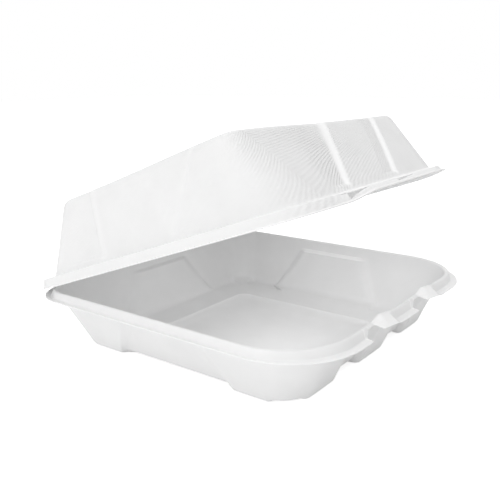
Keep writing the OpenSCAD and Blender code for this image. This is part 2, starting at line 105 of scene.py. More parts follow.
# The bent strip of pulp at the fold
WEB_CORNER_RUN, WEB_LAP, WEB_BULGE, WEB_SHARE = 14.0, 0.02, 0.55, 0.42
WEB_STATIONS, WEB_STEPS = 80, 8

# Painted highlights on ridges and edges: their colour is made whiter where light catches them. Pairs are for
# the front and for the other sides
BEAD_SHINE, CREST_SHINE, FLANGE_SHINE, EDGE_SHINE = 0.5, 0.35, 0.2, 0.6
CUT_SHINE, CUT_REACH = 0.8, 0.9
RIB_SHINE, RIB_SHIFT, RIB_REACH = 0.6, 0.6, 2.6
SHOULDER_SHINE, SHOULDER_SHIFT, SHOULDER_REACH, STEP_SHARE, STEP_REACH = 0.3, 1.0, 5.0, 0.3, 3.0
LEDGE_SHINE, SKIRT_SHINE, SLOT_SHINE, LIP_SHINE = (0.8, 0.3), (0.5, 0.1), 0.9, 0.5
# Strength of the screen's print: on the tray, on the lid's side walls, and the falls past the two ribs
TRAY_PRINT, SIDE_PRINT, RIGHT_PRINT, RIB_FALLS = 0.2, 0.15, 0.15, (0.6, 0.25)
# Angles of a front corner over which the print comes in, and the run past a rib over which it falls
PRINT_TURN, PRINT_FADE = (10.0, 75.0), (-4.0, 8.0)
# Pitch of the screen's wires and cross wires, and how the wires lean on the way down the lid
WIRE_PITCH, CROSS_PITCH = 4.8, 1.7
WIRE_LEAN, WIRE_CURVE = 3.5, 0.025
# Shades of thin pulp, and of the painted highlight beside the plain one
THIN_SHADE, HIGHLIGHT_TINT, WHITEST = 0.965, 1.16, 0.995

# Fineness: longest steps along the front, the sides and the rear, and steps of a corner
TRAY_STEPS, LID_STEPS = (0.8, 1.2, 1.5), (0.8, 1.2, 4.0)
CORNER_STEPS = 20
RING_SHARES = (0.2, 0.4, 0.6, 0.8)
# Largest share of a stretch that a bend takes, least spread of a mitre, and two small distances
BEND_SHARE, MITRE_LIMIT, TOUCH, TINY = 0.46, 0.8, 0.01, 1e-6
SHARP_ANGLE = math.radians(52)

# Strength of the light from above, and the floor's own glow, plain and added as the camera sees it
SKY_STRENGTH, FLOOR_GLOW, FLOOR_SEEN, FLOOR_HALF = 1.42, 0.15, 0.42, 4.0
# The photograph's camera: place in mm, turn to the right, down and round in degrees, and focal length
CAMERA_PLACE, CAMERA_TURN = (-329.0, -237.9, 158.9), (53.04, 14.59, -0.57)
FOCAL_PX, PHOTO_PX, SENSOR_W = 666.28, 500, 36

# The eight stretches of one turn round the outline
FRONT, FRONT_RIGHT, RIGHT, REAR_RIGHT, REAR, REAR_LEFT, LEFT, FRONT_LEFT = range(8)
CORNERS = (FRONT_RIGHT, REAR_RIGHT, REAR_LEFT, FRONT_LEFT)
NO_KNOTS = ((), (), ())


def rise(x, start, end):
    return np.clip((x - start) / (end - start), 0, 1)


def ease(x, start, end):
    t = rise(x, start, end)
    return t * t * (3 - 2 * t)


def near(x, middle, reach):
    return 1 - ease(np.abs(x - middle), 0, reach)


def plateau(x, start, end, run):
    return ease(x, start, start + run) * (1 - ease(x, end - run, end))


def filled(stops, step):
    """The stops in order, with even steps between them."""
    stops = sorted(set(round(float(s), 4) for s in stops))
    out = []
    for a, b in zip(stops, stops[1:]):
        n = max(1, math.ceil((b - a) / step - TINY))
        out += [a + (b - a) * k / n for k in range(n)]
    return np.array(out + [stops[-1]])


class Turn:
    """One turn round a shell: which stretch each station is on, its place there and its way outward.

    A station's place is its distance from the middle on a straight stretch, and its angle on a corner.
    """

    def __init__(self, front, side, rear, steps):
        front, side, rear = (filled(stops, step) for stops, step in zip((front, side, rear), steps))
        corner = 90 * np.arange(1, CORNER_STEPS) / CORNER_STEPS
        runs = [front, corner, side, corner, rear[::-1], corner, side[::-1], corner]
        self.stretch = np.concatenate([np.full(len(r), k) for k, r in enumerate(runs)])
        self.place = np.concatenate(runs)
        self.count = len(self.place)
        angle = np.radians(np.where(self.on(*CORNERS), self.place, 0))
        quarter = np.radians(90 * (self.stretch // 2) * (self.stretch % 2))
        turned = np.where(self.on(*CORNERS), angle + quarter, np.radians(45 * self.stretch))
        self.out = np.stack([np.sin(turned), -np.cos(turned)], 1)

    def on(self, *stretches):
        return np.isin(self.stretch, stretches)

    def spot(self, outline, knots):
        """Each station's point on an outline: half width, front, rear, front radius, rear radius, height.

        The knots say where the panels' edges lie at this height, on the front, the sides and the rear.
        """
        w, front, rear, rf, rr, _ = outline
        x0, y0, x1, y1 = w - rf, front - rf, w - rr, rear - rr

        def along(start, end, nominal_start, nominal_end, marks):
            at = [nominal_start] + [m[0] for m in marks] + [nominal_end]
            to = [start] + [m[1] for m in marks] + [end]
            return np.interp(self.place, at, to)

        front_x = along(-x0, x0, -STRAIGHT_X, STRAIGHT_X, knots[0])
        side_y = along(-y0, y1, -STRAIGHT_FRONT, STRAIGHT_REAR, knots[1])
        rear_x = along(-x1, x1, -STRAIGHT_X, STRAIGHT_X, knots[2])
        ox, oy = self.out[:, 0], self.out[:, 1]
        where = [self.on(stretch) for stretch in range(8)]
        x = np.select(where, [front_x, x0 + rf * ox, w, x1 + rr * ox,
                              rear_x, -x1 + rr * ox, -w, -x0 + rf * ox])
        y = np.select(where, [-front, -y0 + rf * oy, side_y, y1 + rr * oy,
                              rear, y1 + rr * oy, side_y, -y0 + rf * oy])
        return np.stack([x, y], 1)

    def row(self, outline, knots=NO_KNOTS, push=0.0, lift=0.0):
        """A row of the upper face, pushed in and lifted station by station."""
        even = np.zeros(self.count)
        flat = self.spot(outline, knots) - (even + push)[:, None] * self.out
        return np.concatenate([flat, (even + outline[5] + lift)[:, None]], 1)


def inset(o, side, front, rear, height):
    return np.array([o[0] - side, o[1] - front, o[2] - rear, o[3] - side, o[4] - min(side, rear), height])


def all_in(o, d, height):
    return inset(o, d, d, d, height)


def lengths(ways, axis):
    return np.maximum(np.linalg.norm(ways, axis=axis, keepdims=True), TINY)


def under(rows, out):
    """The lower face's rows: one wall below the upper ones, square to them."""
    run = np.einsum("knc,nc->kn", np.diff(rows[:, :, :2], axis=0), out)
    drop = -np.diff(rows[:, :, 2], axis=0)
    way = np.stack([drop, run], 2)
    way /= lengths(way, 2)
    before = np.concatenate([way[:1], way])
    after = np.concatenate([way, way[-1:]])
    along = np.sum(before * after, axis=2, keepdims=True)
    mitre = (before + after) / np.maximum(1 + along, MITRE_LIMIT)
    mitre[0] = [0, 1]
    step = np.concatenate([mitre[:, :, :1] * out[None], mitre[:, :, 1:]], 2)
    return rows - WALL * step


def bend_steps(reach):
    return 3 if reach < 1 else 4 if reach < 3 else 6


def rounded(rows, reaches):
    """Rows with each bend rounded by its own reach, and where each given row starts and ends among them."""
    out, spans = [rows[0]], [(0, 0)]
    for k in range(1, len(rows) - 1):
        here, reach = rows[k], reaches[k]
        if not reach:
            spans.append((len(out), len(out)))
            out.append(here)
            continue
        ends = []
        for other in (rows[k - 1], rows[k + 1]):
            way = other - here
            ends.append(here + way * np.minimum(BEND_SHARE, reach / lengths(way, 1)))
        steps = bend_steps(reach)
        spans.append((len(out), len(out) + steps))
        for t in np.linspace(0, 1, steps + 1):
            out.append((1 - t) ** 2 * ends[0] + 2 * t * (1 - t) * here + t * t * ends[1])
    spans.append((len(out), len(out)))
    out.append(rows[-1])
    return np.array(out), spans


def with_rings(rows):
    """The flat middle inside the first row, as rings that grow from a small one."""
    centre = np.array([0, (rows[0][:, 1].min() + rows[0][:, 1].max()) / 2, rows[0][0, 2]])
    rings = [centre + (rows[0] - centre) * share for share in RING_SHARES]
    return np.concatenate([np.array(rings), rows])


def two_faces(turn, lines):
    """The rounded upper and lower faces, and where each named line starts and ends among their rows.

    A line is a row of points, the reach of the bend there, and its painted highlight.
    """
    rows = np.array([row for row, _, _ in lines.values()])
    reaches = [reach for _, reach, _ in lines.values()]
    upper, spans = rounded(rows, reaches)
    lower, _ = rounded(under(rows, turn.out), reaches)
    rings = len(RING_SHARES)
    places = {name: (first + rings, last + rings) for name, (first, last) in zip(lines, spans)}
    return with_rings(upper), with_rings(lower), places


def spread_painted_highlight(lines, places, shape, starts=(), ends=()):
    """The lines' painted highlight over a face's rows.

    It begins within the bends of the lines named in starts, and is over within those in ends.
    """
    out = np.zeros(shape)
    for name, (first, last) in places.items():
        out[first:last + 1] = lines[name][2]
        if name in starts:
            out[first] = 0
        if name in ends:
            out[last] = 0
    return out


def upright_wires(down):
    return 0 * down


def leaning_wires(down):
    """The lean of the screen's wires on the lid, less and less on the way down."""
    return (WIRE_LEAN - WIRE_CURVE * down) * down


def laid_flat(upper, wall_row, wires):
    """The way round a face and the way down it, and how the screen's wires lean from wall_row on."""
    middle = upper[len(upper) // 2]
    loop = np.concatenate([middle, middle[:1]])
    around = np.concatenate([[0], np.cumsum(np.linalg.norm(np.diff(loop, axis=0), axis=1))])
    around *= round(around[-1] / WIRE_PITCH) * WIRE_PITCH / around[-1]
    steps = np.linalg.norm(np.diff(upper, axis=0), axis=2)
    down = np.concatenate([np.zeros((1, steps.shape[1])), np.cumsum(steps, axis=0)])
    return around, down, wires(np.maximum(down - down[wall_row], 0))


def placed(name, data):
    """A mesh, light or camera as an object of the scene."""
    thing = bpy.data.objects.new(name, data)
    bpy.context.collection.objects.link(thing)
    return thing


def pressed_shell(name, upper, lower, is_open, flat, masks, materials):
    """A closed mesh from the two faces' rows. is_open marks the cells of a slot.

    flat is the upper face laid flat, masks are values at each point of the upper and the lower face, and
    the first material is the upper face's.
    """
    rows, n = upper.shape[:2]
    count = rows * n
    at = lambda r, i: r * n + i % n
    verts = np.concatenate([upper.reshape(-1, 3), lower.reshape(-1, 3),
                            [upper[0].mean(axis=0)], [lower[0].mean(axis=0)]])
    around, down, lean = flat
    faces, slots, uvs = [], [], []

    def add(corners, slot, uv):
        faces.append(corners)
        slots.append(slot)
        uvs.extend(uv)

    for i in range(n):
        j = (i + 1) % n
        middle, here, there = (around[i], 0), (around[i], down[0, i]), (around[i + 1], down[0, j])
        add((2 * count, at(0, j), at(0, i)), 0, [middle, there, here])
        add((2 * count + 1, count + at(0, i), count + at(0, j)), 1, [middle, here, there])
        for r in range(rows - 1):
            quad = [(r, i), (r, i + 1), (r + 1, i + 1), (r + 1, i)]
            uv = [(around[b] + lean[a, b % n], down[a, b % n]) for a, b in quad]
            if not is_open[r, i]:
                add([at(a, b) for a, b in quad], 0, uv)
                add([count + at(a, b) for a, b in reversed(quad)], 1, uv[::-1])
                continue
            sides = [(r - 1, i, 0, 1), (r, j, 1, 2), (r + 1, i, 2, 3), (r, i - 1, 3, 0)]
            for next_row, next_station, a, b in sides:
                if not is_open[next_row, next_station]:
                    p, q = at(*quad[a]), at(*quad[b])
                    add((p, q, count + q, count + p), 0, [uv[a], uv[b], uv[b], uv[a]])
        p, q = at(rows - 1, i), at(rows - 1, j)
        here, there = (around[i], down[-1, i]), (around[i + 1], down[-1, j])
        add((p, q, count + q, count + p), 0, [here, there, there, here])

    mesh = bpy.data.meshes.new(name)
    mesh.from_pydata((verts * MM).tolist(), [], faces)
    mesh.polygons.foreach_set("material_index", slots)
    layer = mesh.uv_layers.new(name="mould")
    layer.data.foreach_set("uv", (np.array(uvs) * MM).ravel())
    for label, (above, below) in masks.items():
        values = np.concatenate([above.ravel(), below.ravel(), [0, 0]])
        mesh.attributes.new(label, "FLOAT", "POINT").data.foreach_set("value", values)
    for material in materials:
        mesh.materials.append(material)
    mesh.shade_smooth()
    mesh.set_sharp_from_angle(angle=SHARP_ANGLE)
    mesh.update()
    return placed(name, mesh)


def shell_masks(painted_highlight, printed, wall_row):
    """The painted highlight of the upper face, and the print of both faces from wall_row on."""
    across = np.zeros(painted_highlight.shape)
    across[wall_row:] = printed
    return {"painted_highlight": (painted_highlight, np.zeros(painted_highlight.shape)), "printed": (across, across)}


def tray_lines():
    """The tray's lines from the floor's middle up and out to the lip."""
    front = [-STRAIGHT_X, STRAIGHT_X]
    for mid in FLUTE_MIDS:
        for side in (-1, 1):
            front += [mid + side * FLUTE_W / 2, mid + side * (FLUTE_W / 2 - STEP_RUN)]
    for tip in TAB_TIPS:
        front += [tip - TAB_GAP - TAB_SLANT, tip - TAB_GAP, tip, tip + CUT_RUN / 2, tip + CUT_RUN,
                  tip + PEAK_AT, tip + FACET_END, tip + FACET_END + FACET_RUN, tip + TAB_LEN]
    stops = [-PANEL_LOW, -PANEL_LOW + STEP_RUN, PANEL_LOW - STEP_RUN, PANEL_LOW]
    sides = [-STRAIGHT_FRONT, *(y + PANEL_SHIFT for y in stops), STRAIGHT_REAR]
    turn = Turn(front, sides, [-STRAIGHT_X, *stops, STRAIGHT_X], TRAY_STEPS)
    place, on_front = turn.place, turn.on(FRONT)

    def at_front(values):
        return np.where(on_front, values, 0)

    def panel(height):
        """Where a wall is pushed in at a height. The steps at its sides grow softer toward the top."""
        mid = np.where(turn.on(REAR), 0, PANEL_SHIFT)
        top_run = np.where(turn.on(REAR), REAR_PANEL_RUN, SIDE_PANEL_RUN)
        run = STEP_RUN + (top_run - STEP_RUN) * math.sqrt(height / PANEL_TOP)
        return np.where(turn.on(RIGHT, REAR, LEFT), plateau(place - mid, -PANEL_LOW, PANEL_LOW, run), 0)

    def knots(height):
        """The panels' edges lean inward up to their ledge."""
        edge = PANEL_LOW + (PANEL_HIGH - PANEL_LOW) * min(1, height / PANEL_TOP)
        lean = [(-PANEL_LOW, -edge), (PANEL_LOW, edge)]
        shifted = [(a + PANEL_SHIFT, b + PANEL_SHIFT) for a, b in lean]
        return ([(-FRONT_KNOT, -FRONT_KNOT), (FRONT_KNOT, FRONT_KNOT)], shifted, lean)

    flute = at_front(sum(plateau(place, mid - FLUTE_W / 2, mid + FLUTE_W / 2, STEP_RUN)
                         for mid in FLUTE_MIDS))
    foot = np.where(turn.on(*CORNERS), 1 - plateau(place, *FOOT_ANGLES, FOOT_END), 1 - panel(0) - flute)
    share = 1 - at_front((1 - RIM_STUB) * sum(
        rise(place, tip - TAB_GAP - TAB_SLANT, tip - TAB_GAP) * (1 - rise(place, tip, tip + CUT_RUN))
        for tip in TAB_TIPS))
    lift = at_front(TAB_RISE * sum(
        np.where(place <= tip, 0, 1 - rise(place, tip, tip + TAB_LEN)) for tip in TAB_TIPS))
    ridge = at_front(TAB_PEAK * sum(
        rise(place, tip + CUT_RUN, tip + PEAK_AT) * (1 - rise(place, tip + PEAK_AT, tip + TAB_LEN))
        for tip in TAB_TIPS))
    facet = at_front(sum(
        np.where(place <= tip, 0, 1 - rise(place, tip + FACET_END, tip + FACET_END + FACET_RUN))
        for tip in TAB_TIPS))
    in_flute, drop = FLUTE_DEPTH * flute, -FOOT_H * foot

    lip = np.array([HALF_W, HALF_D, HALF_D, FRONT_R, TRAY_REAR_R, TRAY_LIP_H])
    crest = inset(lip, SIDE_RIM, END_RIM, END_RIM, CREST_H - CREST_EDGE)
    floor = np.array([crest[0] - SIDE_DRAFT, crest[1] - FRONT_DRAFT, crest[2] - REAR_DRAFT,
                      FLOOR_R, FLOOR_R, 0])
    crest_top = inset(crest, -SIDE_CREST_W / 2, -END_CREST_W / 2, -END_CREST_W / 2, CREST_H)
    crest_out = inset(crest, -SIDE_CREST_W, -END_CREST_W, -END_CREST_W, CREST_H - CREST_EDGE)
    flank = inset(lip, SIDE_FLANGE + BEND, END_FLANGE + BEND, END_FLANGE + BEND, TRAY_LIP_H + BEND)
    flange = inset(lip, SIDE_FLANGE, END_FLANGE, END_FLANGE, TRAY_LIP_H + LIP_FALL)
    bead = np.array([BEAD_W, BEAD_FRONT, BEAD_REAR, BEAD_R, BEAD_R, FLOOR_H + BEAD_H])
    ring_in, ring_out = all_in(floor, FOOT_RING_W, FLOOR_H), all_in(floor, FLOOR_EDGE, FLOOR_H)
    top = knots(PANEL_TOP)
    rim = [turn.row(outline, top) for outline in (crest_out, flank, flange, lip)]

    def wall(height):
        return floor + (crest - floor) * height / crest[5]

    def panel_row(outline, height, lift=0.0):
        """A row of the wall, pushed in as its panels and flutes are at a height."""
        return turn.row(outline, knots(height), PANEL_DEPTH * panel(height) + in_flute, lift)

    def rim_row(t):
        """The rim's row at share t of the way to the lip's edge, less where the rim is cut away."""
        way = (t * share)[:, None]
        row = rim[0] + (rim[1] - rim[0]) * rise(way, 0, FLANK_END)
        row = row + (rim[2] - rim[1]) * rise(way, FLANK_END, FLANGE_START)
        row = row + (rim[3] - rim[2]) * rise(way, FLANGE_START, 1)
        grooved = row[:, 2] + ridge + (lift - ridge) * rise(t * share, 0, FLANK_END)
        out = (row[:, 1] - rim[0][:, 1]) / np.minimum(rim[3][:, 1] - rim[0][:, 1], -TINY)
        flat = rim[0][:, 2] + ridge + (rim[3][:, 2] + lift - rim[0][:, 2] - ridge) * out
        row[:, 2] = grooved + (flat - grooved) * facet
        return row

    # Painted highlights on the side panels' ledges, the tabs' cut edges and raised facets, and the rim
    ledge_shine = np.where(turn.on(RIGHT, LEFT), panel(PANEL_TOP), 0)
    cuts = at_front(sum(near(place, cut, CUT_REACH) for tip in TAB_TIPS
                        for cut in (tip, tip - TAB_GAP, tip - TAB_GAP - TAB_SLANT)))
    rim_shine = np.maximum(facet * (lift > 0), CUT_SHINE * cuts)
    return turn, {
        "bead_inside": (turn.row(all_in(bead, BEAD_IN, FLOOR_H)), 0, 0),
        "bead": (turn.row(bead), 1.2, BEAD_SHINE),
        "bead_outside": (turn.row(all_in(bead, -BEAD_OUT, FLOOR_H + BEAD_H / 2)), 2.0, 0),
        "foot_slope": (turn.row(all_in(ring_in, FOOT_RUN, FLOOR_H)), 1.0, 0),
        "foot_inside": (turn.row(ring_in, lift=drop), 0.9, 0),
        "foot_outside": (panel_row(ring_out, 0, drop), 1.6, 0),
        "wall_foot": (panel_row(wall(FLOOR_H + FLOOR_EDGE), FLOOR_H, drop), 2.4, 0),
        "wall_middle": (panel_row(wall(PANEL_TOP / 2), PANEL_TOP / 2), 5.0, 0),
        "panel_top": (panel_row(wall(PANEL_TOP), PANEL_TOP), 0.6, ledge_shine),
        "ledge": (turn.row(wall(PANEL_TOP + LEDGE_EDGE), top, in_flute), 0.8, ledge_shine),
        "crest_side": (turn.row(wall(CREST_H - CREST_SIDE), top, lift=ridge / 2), 1.5, 0),
        "crest_inside": (turn.row(crest, top, lift=ridge), 0.5, CREST_SHINE),
        "crest": (turn.row(crest_top, top, lift=ridge), 0.6, np.maximum(CREST_SHINE, rim_shine)),
        "crest_outside": (rim_row(0.0), 0.5, rim_shine),
        "groove": (rim_row(FLANK_END), 0.5, rim_shine),
        "flange": (rim_row(FLANGE_START), 0.5, np.maximum(FLANGE_SHINE, rim_shine)),
        "lip": (rim_row(1.0), 0, np.maximum(EDGE_SHINE, rim_shine))}


def slot_edge(turn, low, high):
    """The height of the slots' lower edge on the skirt, and which stations are in a slot or open it.

    A slot starts as a narrow slit at the skirt's top. A short cut opens it, and its edge climbs back.
    """
    past = turn.place - np.where(turn.place < SLOTS[1] - TOUCH, SLOTS[0], SLOTS[1])
    inside = turn.on(FRONT) & (past > -TOUCH) & (past < SLOT_LEN + TOUCH)
    cut_end = SLIT_LEN + SLIT_END
    climb = low + (high - low) * rise(past, cut_end, SLOT_LEN)
    cut = high + (low - high) * rise(past, SLIT_LEN, cut_end)
    edge = np.where(past < SLIT_LEN + TOUCH, high, climb)
    edge = np.where((past >= SLIT_LEN) & (past <= cut_end), cut, edge)
    open_after = inside & np.roll(inside, -1) & (np.roll(past, -1) > past)
    return np.where(inside, edge, (low + high) / 2), inside, open_after


def lid_print(turn, rib):
    """How strong the screen's print is: full at the front's left, less past the ribs and on the sides."""
    place, on_front = turn.place, turn.on(FRONT)
    in_front = np.where(turn.on(FRONT_RIGHT), 90 - place, np.where(on_front, 90, 0))
    turned = np.where(turn.on(FRONT_LEFT), place, in_front)
    printed = SIDE_PRINT + (1 - SIDE_PRINT) * ease(turned, *PRINT_TURN)
    past_ribs = 1 - sum(fall * ease(place, x + PRINT_FADE[0], x + PRINT_FADE[1])
                        for x, fall in zip(RIBS, RIB_FALLS))
    kept = np.where(on_front, past_ribs, np.where(turn.on(FRONT_RIGHT, RIGHT), RIGHT_PRINT, 1))
    return printed * kept * (1 - rib)


def lid_lines():
    """The lid's lines in its shut place, from the top's middle down and out to the lip."""
    lip = np.array([HALF_W, HALF_D, HALF_D, FRONT_R, LID_REAR_R, PARTING_H + FOLD_GAP / 2 + WALL])
    ledge_h, top_h = PARTING_H + LEDGE_RISE, PARTING_H + DOME_H

    def rim(ins, height):
        return inset(lip, ins[0], ins[1], ins[1], height)

    flange, skirt_foot = rim(LID_BEND, lip[5] + LIP_FALL), rim(SKIRT_FOOT, lip[5] + BEND)
    skirt_top, ledge_out = rim(SKIRT_TOP, ledge_h - CREST_EDGE), rim(LEDGE_OUT, ledge_h)
    dome_foot = inset(lip, *DOME_FOOT, ledge_h + CREST_EDGE)
    ledge_in = all_in(dome_foot, -BEND, ledge_h + CREST_EDGE / 2)
    dome_top = np.array([HALF_W - DOME_TOP[0], HALF_D - DOME_TOP[1], HALF_D - DOME_TOP[2],
                         TOP_FRONT_R, TOP_REAR_R, top_h])

    def wall(up):
        return dome_foot + (dome_top - dome_foot) * up

    def knots(up):
        """The ribs and the side walls' steps lean on the way up."""
        return ([(x, x + lean * up) for x, lean in zip(RIBS, RIB_LEANS)],
                [(-SHOULDER_FRONT, -SHOULDER_FRONT - SHOULDER_LEAN * up),
                 (SHOULDER_REAR, SHOULDER_REAR + REAR_LEAN * up)], [])

    front = [-STRAIGHT_X, STRAIGHT_X]
    for x in RIBS:
        front += [x - POCKET_LEN, x - RIB_RUN, x + RIB_RUN]
    for x in SLOTS:
        front += [x, x + SLIT_LEN, x + SLIT_LEN + SLIT_END, x + SLOT_LEN]
    side = [-STRAIGHT_FRONT, -SHOULDER_FRONT - RIB_RUN, -SHOULDER_FRONT + RIB_RUN,
            SHOULDER_REAR - SHOULDER_RUN, SHOULDER_REAR + SHOULDER_RUN, STRAIGHT_REAR]
    turn = Turn(front, side, [-STRAIGHT_X, STRAIGHT_X], LID_STEPS)
    place, on_front, on_sides = turn.place, turn.on(FRONT), turn.on(RIGHT, LEFT)

    pocket = np.where(on_front, sum(
        rise(place, x - POCKET_LEN, x - RIB_RUN) * (1 - ease(place, x - RIB_RUN, x + RIB_RUN))
        for x in RIBS), 0)
    shoulder = ease(place, SHOULDER_REAR - SHOULDER_RUN, SHOULDER_REAR + SHOULDER_RUN) \
        * (1 - ease(place, SHOULDER_REAR + SHOULDER_RUN, STRAIGHT_REAR))
    step = FRONT_STEP * (1 - ease(place, -SHOULDER_FRONT - RIB_RUN, -SHOULDER_FRONT + RIB_RUN)) \
        * ease(place, -STRAIGHT_FRONT, -SHOULDER_FRONT - RIB_RUN)
    push = POCKET_DEPTH * pocket + SHOULDER_DEPTH * np.where(on_sides, shoulder + step, 0)

    edge, in_slot, open_after = slot_edge(turn, skirt_foot[5] + BEND, skirt_top[5] - BEND)
    share = rise(edge, skirt_foot[5], skirt_top[5])[:, None]
    skirt = [turn.row(outline, knots(0)) for outline in (skirt_foot, skirt_top)]

    # The strip under the slots has warped up, from the left slot's cut to the right corner, and the
    # right side's lip down
    strip_run = (SLOTS[0] + STRIP_WARP_LEAD, SLOTS[0] + SLOT_LEN + STRIP_WARP_PAST)
    strip_warp = np.where(on_front, ease(place, *strip_run),
                          np.where(turn.on(FRONT_RIGHT), 1 - ease(place, 0, STRIP_WARP_TURN), 0))
    side_warp = np.where(turn.on(RIGHT), 1 - ease(place, *SIDE_WARP_FALL),
                         np.where(turn.on(FRONT_RIGHT), ease(place, *SIDE_WARP_TURN), 0))
    warp = STRIP_WARP * strip_warp + SIDE_WARP * side_warp

    def raised(row, height):
        return row + np.outer(height, [0, 0, 1])

    def top_row(outline, up, pushed=0.0, part=1.0):
        """A row near the top, whose front left corner stands a little high."""
        row = turn.row(outline, knots(up), pushed)
        corner = (1 - ease(row[:, 0], *TOP_WARP_X)) * (1 - ease(row[:, 1], *TOP_WARP_Y))
        return raised(row, TOP_WARP * corner * part)

    # Painted highlights on the ribs, the side walls' steps, the ledge, the skirt, the slots' edges and the
    # lip
    rib = np.where(on_front, sum(near(place, x - RIB_SHIFT, RIB_REACH) for x in RIBS), 0)
    bend = np.where(on_sides, near(place, SHOULDER_REAR - SHOULDER_SHIFT, SHOULDER_REACH)
                    + STEP_SHARE * near(place, -SHOULDER_FRONT, STEP_REACH), 0)
    wall_shine = RIB_SHINE * rib + SHOULDER_SHINE * bend
    skirt_shine = np.where(on_front, *SKIRT_SHINE)
    slot_shine = np.where(in_slot, SLOT_SHINE, skirt_shine)
    top_edge = all_in(dome_top, TOP_ROUND / 4, top_h - TOP_ROUND / 4)
    lines = {
        "top_inside": (top_row(all_in(dome_top, TOP_ROUND * 2, top_h), 1), 0, 0),
        "top": (top_row(all_in(dome_top, TOP_ROUND, top_h), 1, push / 3), 2.5, 0),
        "top_edge": (top_row(top_edge, 1, push), 1.6, wall_shine),
        "wall_top": (top_row(wall(1 - TOP_ROUND / DOME_H), WALL_HIGH, push), 2.0, wall_shine),
        "wall_middle": (top_row(wall(WALL_MIDDLE), WALL_MIDDLE, push, WALL_WARP), 6.0, wall_shine),
        "pocket_foot": (turn.row(wall(POCKET_FOOT * 1.5), knots(POCKET_FOOT), push), 0.9, wall_shine),
        "pocket_ledge": (turn.row(wall(POCKET_FOOT), knots(POCKET_FOOT)), 0.8, wall_shine),
        "dome_foot": (turn.row(dome_foot, knots(0)), 0.6, 0),
        "ledge_inside": (turn.row(ledge_in, knots(0)), 0.5, 0),
        "ledge": (turn.row(ledge_out, knots(0)), 0.6, np.where(on_front, *LEDGE_SHINE)),
        "skirt_top": (skirt[1], 0.35, slot_shine),
        "slot_edge": (raised(skirt[0] + (skirt[1] - skirt[0]) * share, warp * (1 - share[:, 0])),
                      0, slot_shine),
        "skirt_foot": (raised(skirt[0], warp), 0.5, skirt_shine),
        "lip_bend": (raised(turn.row(flange, knots(0)), warp), 0.4, LIP_SHINE),
        "lip": (raised(turn.row(lip, knots(0)), warp), 0, LIP_SHINE)}
    return turn, lines, open_after, lid_print(turn, rib)


def opened(points):
    """From the lid's shut place to its place at rest."""
    a = math.radians(LID_OPEN)
    y, z = points[..., 1] - FOLD_Y, points[..., 2] - PARTING_H
    out = points.copy()
    out[..., 1] = FOLD_Y + y * math.cos(a) + z * math.sin(a)
    out[..., 2] = PARTING_H - y * math.sin(a) + z * math.cos(a)
    return out


class Graph:
    """Adds nodes to a tree and joins them."""

    def __init__(self, tree):
        self.nodes, self.links = tree.nodes, tree.links

    def add(self, kind, inputs=None, **settings):
        node = self.nodes.new(kind)
        for key, value in settings.items():
            setattr(node, key, value)
        for key, value in (inputs or {}).items():
            if isinstance(value, bpy.types.NodeSocket):
                self.links.new(value, node.inputs[key])
            else:
                node.inputs[key].default_value = value
        return node

    def math(self, operation, a, b=0.0):
        return self.add("ShaderNodeMath", {0: a, 1: b}, operation=operation).outputs[0]

    def noise(self, place, scale, detail, roughness=0.5, distortion=0.0):
        return self.add("ShaderNodeTexNoise", {
            "Vector": place, "Scale": scale, "Detail": detail, "Roughness": roughness,
            "Distortion": distortion}).outputs["Fac"]

    def attribute(self, name):
        return self.add("ShaderNodeAttribute", attribute_name=name).outputs["Fac"]


def group(name, inputs, outputs):
    tree = bpy.data.node_groups.new(name, "ShaderNodeTree")
    for label, value in inputs.items():
        socket = tree.interface.new_socket(label, in_out="INPUT", socket_type="NodeSocketFloat")
        socket.default_value = value
    for label in outputs:
        tree.interface.new_socket(label, in_out="OUTPUT", socket_type="NodeSocketFloat")
    g = Graph(tree)
    return tree, g, g.add("NodeGroupInput").outputs, g.add("NodeGroupOutput").inputs


def pulp_fibre_group():
    """Matted short fibres, and the cloudiness of the pulp's thickness."""
    tree, g, given, out = group(
        "pulp_fibres", {"Fibre Scale": 900.0, "Lump Scale": 160.0, "Cloud Scale": 45.0}, ["Height", "Cloud"])
    place = g.add("ShaderNodeTexCoord").outputs["Object"]
    fibre = g.noise(place, given["Fibre Scale"], 3.0, 0.6, 1.2)
    lumps = g.noise(place, given["Lump Scale"], 2.0)
    height = g.math("ADD", g.math("MULTIPLY", fibre, 0.45), g.math("MULTIPLY", lumps, 0.55))
    g.links.new(height, out["Height"])
    g.links.new(g.noise(place, given["Cloud Scale"], 3.0, 0.6), out["Cloud"])
    return tree


def painted_highlight_group():
    """Where ridges and edges get a painted highlight: a whiter colour where light would catch them."""
    tree, g, given, out = group("painted_highlight", {"Strength": 1.0}, ["Mask"])
    mask = g.add("ShaderNodeMapRange", {"Value": g.attribute("painted_highlight")}).outputs[0]
    g.links.new(g.math("MULTIPLY", mask, given["Strength"]), out["Mask"])
    return tree


